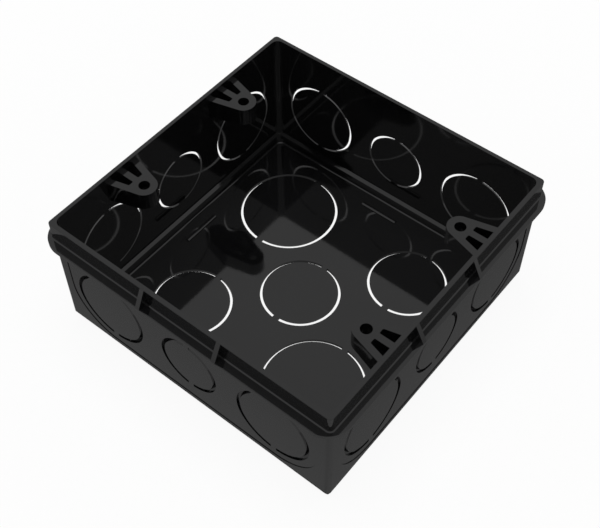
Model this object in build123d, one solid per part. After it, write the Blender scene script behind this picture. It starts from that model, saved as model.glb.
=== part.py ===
"""Square flush-mounting electrical box, moulded in one piece, in millimetres.

The origin is the centre of the underside. Z points up, out of the open mouth.
The X walls carry the screw ears.
"""
import os
from math import cos, radians, sin, tan

from build123d import *

os.makedirs("parts", exist_ok=True)

# Overall
total_height = 46.9
sides = 4
quarter_turn = 360 / sides

# Cover screws: their spacing, and the distance from a hole to the wall beside it, which sets the inside
screw_pitch_x = 83.5
screw_pitch_y = 46.0
screw_hole_r = 1.8
screw_to_wall = 9.35

# Lip around the mouth, standing on the flange
lip_wall = 1.4
lip_rise = 6.3
lip_corner_r = 1.3
lip_foot_r = 0.5
lip_edge_r = 0.25

# Flange around the lip
flange_reach = 3.0
flange_thickness = 1.3
flange_corner_r = 8.2

# Gussets between the lip and the flange, a pair on every side
gusset_offset = 14.2
gusset_width = 1.5

# Walls: the outside stands a little inside the lip face, the inside is flush with the lip
wall_inset = 0.25
wall_corner_r = 1.5
inside_corner_r = 2.4
base_chamfer = 3.1

# Floor: a sloping shoulder leads from the walls to a narrow ledge, and the ledge drops to the floor face
floor_thickness = 1.05
ledge_drop = 1.85
ledge_run = 1.95
shoulder_run = 1.0
shoulder_rise = 0.83
pocket_corner_r = 2.5
floor_edge_r = 0.75

# Low round-topped rib on the floor, in the middle of every side
rib_length = 14.0
rib_height = 0.6
rib_r = 0.9
rib_gap = 5.4

# Knockouts: discs held in their holes by two bridges; hole radii for three conduit sizes
hole_r_small = 10.65
hole_r_medium = 13.3
hole_r_large = 16.85
wall_slot_width = 0.7
floor_slot_width = 0.8
disc_bevel_angle = 30.0
bridge_width = 2.0
wall_knockout_height = 20.65
wall_knockout_pitch = 31.85
floor_knockout_pitch = 25.2

# Shallow recessed panel in the outside of each wall, its lower corners concentric with the outer knockouts
panel_depth = 0.2
panel_rim = 2.8

# Screw ears: a rounded tip around the hole, three arms with two windows, deeper towards the wall
ear_drop = 2.0
ear_tip_r = 4.1
ear_tip_depth = 6.5
ear_root_depth = 8.0
ear_under_r = 0.5
ear_taper_angle = 15.0
ear_arm = 2.2
ear_middle_arm = 2.2
ear_web = 1.8
ear_window_r = 0.4

# Room that a cutting shape or a joined shape needs beyond the face it meets
overlap = 0.5

# Sizes that follow
hole_x = screw_pitch_x / 2
inside_half = hole_x + screw_to_wall
lip_half = inside_half + lip_wall
wall_half = lip_half - wall_inset
flange_half = lip_half + flange_reach
flange_top = total_height - lip_rise
flange_bottom = flange_top - flange_thickness
pocket_half = inside_half - ledge_run
ledge_height = floor_thickness + ledge_drop
rib_x = pocket_half - rib_gap
ear_top = total_height - ear_drop
panel_r = hole_r_medium + panel_rim
panel_half = wall_knockout_pitch + panel_r
panel_bottom = wall_knockout_height - panel_r


def prism(half, corner_r, low, high):
    """Upright square block with rounded corners between two heights."""
    return Pos(0, 0, low) * extrude(RectangleRounded(2 * half, 2 * half, corner_r), high - low)


def bottom_edges(solid):
    return solid.faces().sort_by(Axis.Z)[0].edges()


def top_edges(solid):
    return solid.faces().sort_by(Axis.Z)[-1].edges()


def bevelled_prism(half, corner_r, low, high, run, rise):
    """Prism whose four bottom edges are bevelled, the bevels meeting in mitres under the round corners."""
    block = Pos(0, 0, low) * extrude(Rectangle(2 * half, 2 * half), high - low)
    foot = block.faces().sort_by(Axis.Z)[0]
    block = chamfer(foot.edges(), run, rise, reference=foot)
    return block & prism(half, corner_r, low, high)


def outer_form():
    """Walls, flange and lip as one block, before it is hollowed."""
    walls = bevelled_prism(wall_half, wall_corner_r, 0, flange_top, base_chamfer, base_chamfer)
    flange = prism(flange_half, flange_corner_r, flange_bottom, flange_top)
    lip = prism(lip_half, lip_corner_r, flange_bottom, total_height)
    lip = fillet(top_edges(lip), lip_edge_r)
    form = walls + flange + lip
    ledge = form.faces().filter_by_position(Axis.Z, flange_top, flange_top)[0]
    return fillet(ledge.inner_wires()[0].edges(), lip_foot_r)


def hollow():
    """Space inside the box: straight walls, the shoulder down to the ledge, and the drop to the floor."""
    mouth = total_height + overlap
    upper = bevelled_prism(inside_half, inside_corner_r, ledge_height, mouth, shoulder_run, shoulder_rise)
    pocket = prism(pocket_half, pocket_corner_r, floor_thickness, ledge_height + overlap)
    pocket = fillet(bottom_edges(pocket), floor_edge_r)
    return upper + pocket


def floor_rib():
    """Rib on the floor along the +X wall, with a round top."""
    section = Pos(0, rib_height - rib_r) * Circle(rib_r)
    clip = Rectangle(2 * rib_r, rib_height + overlap, align=(Align.CENTER, Align.MIN))
    section &= Pos(0, -overlap) * clip
    return Pos(rib_x, 0, floor_thickness) * extrude(Plane.XZ * section, rib_length / 2, both=True)


def gusset(offset):
    """Triangle on the +X side from the lip's top to the flange's edge."""
    outline = Polygon(
        (lip_half, flange_top),
        (flange_half, flange_top),
        (lip_half, total_height - lip_edge_r),
        align=None,
    )
    return Pos(0, offset, 0) * extrude(Plane.XZ * outline, gusset_width / 2, both=True)


def slot(hole_r, width, thickness):
    """Ring cut out around a disc: local z = 0 is the inside face and +z leads out of the box."""
    low = -overlap
    high = thickness + overlap
    middle = (low + high) / 2
    slope = tan(radians(disc_bevel_angle))
    disc_r = hole_r - width
    ring = Cylinder(hole_r, high - low)
    disc = Cone(disc_r - slope * low, disc_r - slope * high, high - low)
    bridge = Box(bridge_width, 2 * (hole_r + overlap), high - low)
    return Pos(0, 0, middle) * (ring - disc - bridge)


def wall_cuts():
    """Recessed panel and three knockouts of the +X wall."""
    panel = Polygon(
        (-panel_half, panel_bottom),
        (panel_half, panel_bottom),
        (panel_half, flange_bottom),
        (-panel_half, flange_bottom),
        align=None,
    )
    panel = fillet(panel.vertices().group_by(Axis.Y)[0], panel_r)
    outside = Plane((wall_half - panel_depth, 0, 0), x_dir=(0, 1, 0), z_dir=(1, 0, 0))
    cuts = [extrude(outside * panel, panel_depth + overlap)]
    thickness = wall_half - panel_depth - inside_half
    for offset, hole_r in (
        (-wall_knockout_pitch, hole_r_medium),
        (0, hole_r_small),
        (wall_knockout_pitch, hole_r_medium),
    ):
        inside = Plane((inside_half, offset, wall_knockout_height), x_dir=(0, 1, 0), z_dir=(1, 0, 0))
        cuts.append(inside.location * slot(hole_r, wall_slot_width, thickness))
    return cuts


def floor_cuts():
    """Five knockouts of the floor: the two large ones lie on one diagonal."""
    cuts = []
    for x, y, hole_r in (
        (0, 0, hole_r_medium),
        (1, 1, hole_r_medium),
        (-1, -1, hole_r_medium),
        (1, -1, hole_r_large),
        (-1, 1, hole_r_large),
    ):
        centre = (x * floor_knockout_pitch, y * floor_knockout_pitch, floor_thickness)
        inside = Plane(centre, x_dir=(1, 0, 0), z_dir=(0, 0, -1))
        cuts.append(inside.location * slot(hole_r, floor_slot_width, floor_thickness))
    return cuts


def ear_plan(tip_r, root_x):
    """Ear outline seen from above: a round tip about the screw hole, widening evenly to the root."""
    taper = radians(ear_taper_angle)
    root_half = (tip_r + (root_x - hole_x) * sin(taper)) / cos(taper)
    tip = Pos(hole_x, 0) * Circle(tip_r)
    root = Line((root_x, -root_half), (root_x, root_half))
    return make_hull(tip.edges() + root.edges())


def ear():
    """Screw ear on the +X wall, with its hole on the X axis."""
    tip_x = hole_x - ear_tip_r
    root_x = inside_half + overlap
    window_x = hole_x + screw_hole_r + ear_web
    outline = ear_plan(ear_tip_r, root_x)
    windows = ear_plan(ear_tip_r - ear_arm, inside_half)
    windows -= Pos(window_x, 0) * Rectangle(2 * window_x, 2 * window_x, align=(Align.MAX, Align.CENTER))
    windows -= Pos(hole_x, 0) * Rectangle(2 * inside_half, ear_middle_arm)
    windows = fillet(windows.vertices().group_by(Axis.X)[0], ear_window_r)
    openings = windows + Pos(hole_x, 0) * Circle(screw_hole_r)
    side = Polygon(
        (tip_x, ear_top),
        (tip_x, ear_top - ear_tip_depth),
        (root_x, ear_top - ear_root_depth),
        (root_x, ear_top),
        align=None,
    )
    low = Pos(0, 0, ear_top - ear_root_depth)
    block = low * extrude(outline, ear_root_depth) & extrude(Plane.XZ * side, root_x, both=True)
    underside = block.faces().sort_by(Axis.Z)[0]
    block = fillet(underside.edges().sort_by(Axis.X)[:-1], ear_under_r)
    return block - low * extrude(openings, ear_root_depth)


box_body = outer_form() - hollow()
for side in range(sides):
    turn = Rot(0, 0, side * quarter_turn)
    box_body += [turn * gusset(offset) for offset in (-gusset_offset, gusset_offset)]
    box_body += turn * floor_rib()
    box_body -= [turn * cut for cut in wall_cuts()]
box_body -= floor_cuts()
for turn in (Rot(0, 0, 0), Rot(0, 0, 2 * quarter_turn)):
    box_body += [turn * Pos(0, y, 0) * ear() for y in (-screw_pitch_y / 2, screw_pitch_y / 2)]

export_step(box_body, "parts/box_body.step")
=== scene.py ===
"""Looks of the square wiring box: black gloss moulded plastic on a pale floor, seen from above a corner."""
from math import radians

import bpy
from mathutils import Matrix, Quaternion, Vector

# Camera: places in metres in the part's own frame, lens and sensor in millimetres
CAMERA_PLACE = Vector((0.1316, -0.1621, 0.2891))
CAMERA_AIM = Vector((0.0019, -0.0024, 0.0204))
CAMERA_ROLL = radians(-0.34)
CAMERA_LENS = 64.79
CAMERA_NEAREST = 0.01
SENSOR_WIDTH = 36.0

# Range of a noise's factor that is spread over the values it drives
NOISE_LOW = 0.3
NOISE_HIGH = 0.7

# Mottle, an effect of the plastic and of the floor: its noise and its sockets
MOTTLE_NOISE = {"Detail": 3.0, "Roughness": 0.5}
MOTTLE_INPUTS = (
    ("Vector", "NodeSocketVector"),
    ("Scale", "NodeSocketFloat"),
    ("Dark", "NodeSocketColor"),
    ("Light", "NodeSocketColor"),
)
MOTTLE_OUTPUTS = (
    ("Tint", "NodeSocketColor"),
    ("Height", "NodeSocketFloat"),
)

# Black plastic: flow streaks in the colour, smudges in the gloss, fine grain; heights in metres
PLASTIC_IOR = 1.8
PLASTIC_ROUGHNESS = (0.03, 0.07)
FLOW_STREAKS = {
    "Scale": 28.0,
    "Dark": (0.0031, 0.0031, 0.0033, 1.0),
    "Light": (0.0047, 0.0047, 0.0050, 1.0),
}
FLOW_HEIGHT = 0.00002
SMUDGES = {"Scale": 160.0, "Detail": 4.0, "Roughness": 0.6}
GRAIN = {"Scale": 2600.0, "Detail": 2.0, "Roughness": 0.5}
GRAIN_HEIGHT = 0.000002

# Light: surroundings that show white and light the object less, and a softbox overhead, in metres and watts
WHITE = (1.0, 1.0, 1.0, 1.0)
SHOWN_STRENGTH = 1.0
SURROUND_STRENGTH = 0.39
SOFTBOX_HEIGHT = 0.9
SOFTBOX_SIDE = 0.6
SOFTBOX_POWER = 4.6

# Floor: its side and its gap below the box in metres, and the colours of its paper
FLOOR_SIDE = 6.0
FLOOR_GAP = 0.0001
PAPER_FIBRE = {
    "Scale": 400.0,
    "Dark": (0.86, 0.86, 0.86, 1.0),
    "Light": (0.92, 0.92, 0.92, 1.0),
}

# How white the floor shows near the box and away from it, and where that change starts and ends in metres
FLOOR_WHITENESS = (0.93, 1.0)
WHITENING_REACH = (0.1, 0.3)

# Painted shade of the floor, seen only in the near walls' gloss: greys at places along x + y in metres
DIAGONAL = (1.0, 1.0, 0.0)
PAINTED_WALL_SHADES = (
    (-0.40, SURROUND_STRENGTH),
    (-0.14, 0.192),
    (-0.008, 0.21),
    (0.008, 0.15),
    (0.15, 0.127),
    (0.33, SURROUND_STRENGTH),
)

# Floor in front of the near corner: the corner in metres, the way out from it, and the painted shade grey
# on that way, seen in the gloss
NEAR_CORNER = (0.0522, -0.0522, 0.0)
CORNER_WAY = (0.811, -0.585, 0.0)
PAINTED_CORNER_SHADE = (0.25, 0.25, 0.25, 1.0)


def place(tree, kind, name, **values):
    """Adds a node and sets the inputs that are named; spaces in input names are written as underscores."""
    node = tree.nodes.new(kind)
    node.name = name
    for key, value in values.items():
        node.inputs[key.replace("_", " ")].default_value = value
    return node


def noise(tree, name, where, **values):
    node = place(tree, "ShaderNodeTexNoise", name, **values)
    tree.links.new(where, node.inputs["Vector"])
    return node


def map_range(tree, name, value, **limits):
    node = place(tree, "ShaderNodeMapRange", name, **limits)
    tree.links.new(value, node.inputs["Value"])
    return node.outputs["Result"]


def spread(tree, name, factor, low, high):
    """Maps the middle of a noise to a range of values."""
    return map_range(tree, name, factor, From_Min=NOISE_LOW, From_Max=NOISE_HIGH, To_Min=low, To_Max=high)


def combine(tree, name, operation, first, second):
    """One value made from two."""
    node = place(tree, "ShaderNodeMath", name)
    node.operation = operation
    tree.links.new(first, node.inputs[0])
    tree.links.new(second, node.inputs[1])
    return node.outputs["Value"]


def measure(tree, name, operation, where, other=None):
    """Value or vector worked out from a place and, where the operation needs one, another vector."""
    node = place(tree, "ShaderNodeVectorMath", name)
    node.operation = operation
    tree.links.new(where, node.inputs[0])
    if other is not None:
        node.inputs[1].default_value = other
    return node.outputs


def mix_colours(tree, name, factor):
    """Mix of two colours, Color1 and Color2, which are left to be set."""
    node = place(tree, "ShaderNodeMixRGB", name)
    tree.links.new(factor, node.inputs["Fac"])
    return node


def mix_shaders(tree, name, factor, first, second):
    node = place(tree, "ShaderNodeMixShader", name)
    for source, socket in zip((factor, first, second), node.inputs):
        tree.links.new(source, socket)
    return node.outputs["Shader"]


def bump(tree, name, height, distance):
    node = place(tree, "ShaderNodeBump", name, Distance=distance)
    tree.links.new(height, node.inputs["Height"])
    return node


def mottle_group():
    """Soft patches between a dark and a light colour, with their height."""
    tree = bpy.data.node_groups.new("mottle", "ShaderNodeTree")
    for name, kind in MOTTLE_INPUTS:
        tree.interface.new_socket(name, in_out="INPUT", socket_type=kind)
    for name, kind in MOTTLE_OUTPUTS:
        tree.interface.new_socket(name, in_out="OUTPUT", socket_type=kind)
    given = place(tree, "NodeGroupInput", "given").outputs
    result = place(tree, "NodeGroupOutput", "result").inputs
    patches = noise(tree, "patches", given["Vector"], **MOTTLE_NOISE)
    tree.links.new(given["Scale"], patches.inputs["Scale"])
    shade = spread(tree, "shade", patches.outputs["Fac"], 0.0, 1.0)
    tint = mix_colours(tree, "tint", shade)
    tree.links.new(given["Dark"], tint.inputs["Color1"])
    tree.links.new(given["Light"], tint.inputs["Color2"])
    tree.links.new(tint.outputs["Color"], result["Tint"])
    tree.links.new(patches.outputs["Fac"], result["Height"])
    return tree


def mottle(tree, name, group, where, values):
    """Places the mottle group with a material's own values."""
    node = place(tree, "ShaderNodeGroup", name)
    node.node_tree = group
    for key, value in values.items():
        node.inputs[key].default_value = value
    tree.links.new(where, node.inputs["Vector"])
    return node.outputs


def black_gloss_plastic(group):
    """Moulded plastic: faint flow streaks in the colour, smudges in the gloss, a very fine grain."""
    material = bpy.data.materials.new("black_gloss_plastic")
    material.use_nodes = True
    tree = material.node_tree
    shader = tree.nodes["Principled BSDF"]
    shader.inputs["IOR"].default_value = PLASTIC_IOR
    where = place(tree, "ShaderNodeTexCoord", "places").outputs["Object"]
    flow = mottle(tree, "flow_streaks", group, where, FLOW_STREAKS)
    smudges = noise(tree, "handling_smudges", where, **SMUDGES)
    grain = noise(tree, "mould_grain", where, **GRAIN)
    gloss = spread(tree, "plastic_gloss", smudges.outputs["Fac"], *PLASTIC_ROUGHNESS)
    waves = bump(tree, "flow_waves", flow["Height"], FLOW_HEIGHT)
    skin = bump(tree, "grain_skin", grain.outputs["Fac"], GRAIN_HEIGHT)
    tree.links.new(waves.outputs["Normal"], skin.inputs["Normal"])
    tree.links.new(flow["Tint"], shader.inputs["Base Color"])
    tree.links.new(gloss, shader.inputs["Roughness"])
    tree.links.new(skin.outputs["Normal"], shader.inputs["Normal"])
    return material


def seen_directly(tree, rays):
    """One for what the camera sees itself or through something clear, zero for what lights the object."""
    return combine(tree, "seen_directly", "MAXIMUM", rays["Is Camera Ray"], rays["Is Transmission Ray"])


def painted_wall_shade(tree, where):
    """Painted shade greys of the floor along the two near walls, seen in their gloss."""
    along = measure(tree, "along_diagonal", "DOT_PRODUCT", where, DIAGONAL)["Value"]
    start, end = PAINTED_WALL_SHADES[0][0], PAINTED_WALL_SHADES[-1][0]
    share = map_range(tree, "diagonal_share", along, From_Min=start, From_Max=end)
    tone = place(tree, "ShaderNodeValToRGB", "painted_wall_shade")
    stops = tone.color_ramp.elements
    for distance, _ in PAINTED_WALL_SHADES[1:-1]:
        stops.new((distance - start) / (end - start))
    for stop, (_, grey) in zip(stops, PAINTED_WALL_SHADES):
        stop.color = (grey, grey, grey, 1.0)
    tree.links.new(share, tone.inputs["Fac"])
    return tone.outputs["Color"]


def corner_shade_share(tree, where):
    """Share of the painted corner shade: one straight out from the near corner, falling to zero square to
    that way.
    """
    from_corner = measure(tree, "from_corner", "SUBTRACT", where, NEAR_CORNER)["Vector"]
    way = measure(tree, "way", "NORMALIZE", from_corner)["Vector"]
    ahead = measure(tree, "ahead", "DOT_PRODUCT", way, CORNER_WAY)["Value"]
    return map_range(tree, "corner_shade_share", ahead)


def painted_gloss_shade(tree, where):
    """Painted shade: grey of the floor as the plastic reflects it, evened out over the two near walls and
    their corner.
    """
    tone = mix_colours(tree, "painted_gloss_shade", corner_shade_share(tree, where))
    tree.links.new(painted_wall_shade(tree, where), tone.inputs["Color1"])
    tone.inputs["Color2"].default_value = PAINTED_CORNER_SHADE
    return tone.outputs["Color"]


def whiteness(tree, where):
    """How white the floor shows: it keeps the shadow by the box and is all white away from it."""
    reach = measure(tree, "reach", "LENGTH", where)["Value"]
    near, far = WHITENING_REACH
    low, high = FLOOR_WHITENESS
    return map_range(tree, "whiteness", reach, From_Min=near, From_Max=far, To_Min=low, To_Max=high)


def floor_paper(group):
    """Pale paper: near white with a soft shadow, painted shade greys where the plastic reflects it, clear
    from below.
    """
    material = bpy.data.materials.new("floor_paper")
    material.use_nodes = True
    tree = material.node_tree
    tree.nodes.remove(tree.nodes["Principled BSDF"])
    where = place(tree, "ShaderNodeTexCoord", "places").outputs["Object"]
    rays = place(tree, "ShaderNodeLightPath", "rays").outputs
    paper = mottle(tree, "paper_fibre", group, where, PAPER_FIBRE)
    lit = place(tree, "ShaderNodeBsdfDiffuse", "lit_paper")
    tree.links.new(paper["Tint"], lit.inputs["Color"])
    # Glow of the floor: white to the camera, painted shade greys in the plastic's gloss
    shown = mix_colours(tree, "shown_colour", rays["Is Glossy Ray"])
    shown.inputs["Color1"].default_value = WHITE
    tree.links.new(painted_gloss_shade(tree, where), shown.inputs["Color2"])
    glow = place(tree, "ShaderNodeEmission", "shown_paper", Strength=SHOWN_STRENGTH)
    tree.links.new(shown.outputs["Color"], glow.inputs["Color"])
    white = combine(tree, "white_share", "MULTIPLY", seen_directly(tree, rays), whiteness(tree, where))
    share = combine(tree, "shown_share", "MAXIMUM", white, rays["Is Glossy Ray"])
    above = mix_shaders(tree, "from_above", share, lit.outputs["BSDF"], glow.outputs["Emission"])
    below = place(tree, "ShaderNodeNewGeometry", "sides").outputs["Backfacing"]
    clear = place(tree, "ShaderNodeBsdfTransparent", "clear").outputs["BSDF"]
    surface = mix_shaders(tree, "from_both_sides", below, above, clear)
    tree.links.new(surface, tree.nodes["Material Output"].inputs["Surface"])
    return material


def lay_floor(material):
    """Flat sheet just below the box's underside."""
    half = FLOOR_SIDE / 2
    corners = [(-half, -half, 0), (half, -half, 0), (half, half, 0), (-half, half, 0)]
    mesh = bpy.data.meshes.new("floor")
    mesh.from_pydata(corners, [], [(0, 1, 2, 3)])
    mesh.materials.append(material)
    floor = bpy.data.objects.new("floor", mesh)
    floor.location = (0.0, 0.0, -FLOOR_GAP)
    bpy.context.scene.collection.objects.link(floor)


def white_surroundings():
    """White all round to the camera, and a dimmer light on the object and in its gloss."""
    world = bpy.data.worlds.new("white_surroundings")
    world.use_nodes = True
    tree = world.node_tree
    sky = tree.nodes["Background"]
    sky.inputs["Color"].default_value = WHITE
    direct = seen_directly(tree, place(tree, "ShaderNodeLightPath", "rays").outputs)
    strength = map_range(tree, "strength", direct, To_Min=SURROUND_STRENGTH, To_Max=SHOWN_STRENGTH)
    tree.links.new(strength, sky.inputs["Strength"])
    bpy.context.scene.world = world


def hang_softbox():
    """Soft lamp straight above the box, left out of the plastic's gloss."""
    data = bpy.data.lights.new("softbox", "AREA")
    data.size = SOFTBOX_SIDE
    data.energy = SOFTBOX_POWER
    softbox = bpy.data.objects.new("softbox", data)
    softbox.location = (0.0, 0.0, SOFTBOX_HEIGHT)
    softbox.visible_glossy = False
    bpy.context.scene.collection.objects.link(softbox)


def set_camera():
    """Camera above the near corner, turned a little about its own axis."""
    data = bpy.data.cameras.new("camera")
    data.sensor_width = SENSOR_WIDTH
    data.sensor_fit = "HORIZONTAL"
    data.lens = CAMERA_LENS
    data.clip_start = CAMERA_NEAREST
    camera = bpy.data.objects.new("camera", data)
    camera.location = CAMERA_PLACE
    camera.rotation_mode = "QUATERNION"
    level = (CAMERA_AIM - CAMERA_PLACE).to_track_quat("-Z", "Y")
    camera.rotation_quaternion = level @ Quaternion((0, 0, 1), CAMERA_ROLL)
    bpy.context.scene.collection.objects.link(camera)
    bpy.context.scene.camera = camera


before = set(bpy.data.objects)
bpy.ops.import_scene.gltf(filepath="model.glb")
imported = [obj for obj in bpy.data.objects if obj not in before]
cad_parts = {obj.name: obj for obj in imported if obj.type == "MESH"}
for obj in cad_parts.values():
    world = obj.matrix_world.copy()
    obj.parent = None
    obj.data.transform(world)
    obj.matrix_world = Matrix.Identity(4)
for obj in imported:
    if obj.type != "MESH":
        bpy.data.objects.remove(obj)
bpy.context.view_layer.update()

mottle_effect = mottle_group()
box_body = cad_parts["box_body"]
box_body.data.materials.clear()
box_body.data.materials.append(black_gloss_plastic(mottle_effect))

lay_floor(floor_paper(mottle_effect))
white_surroundings()
hang_softbox()
set_camera()
bpy.context.scene.view_settings.view_transform = "Standard"
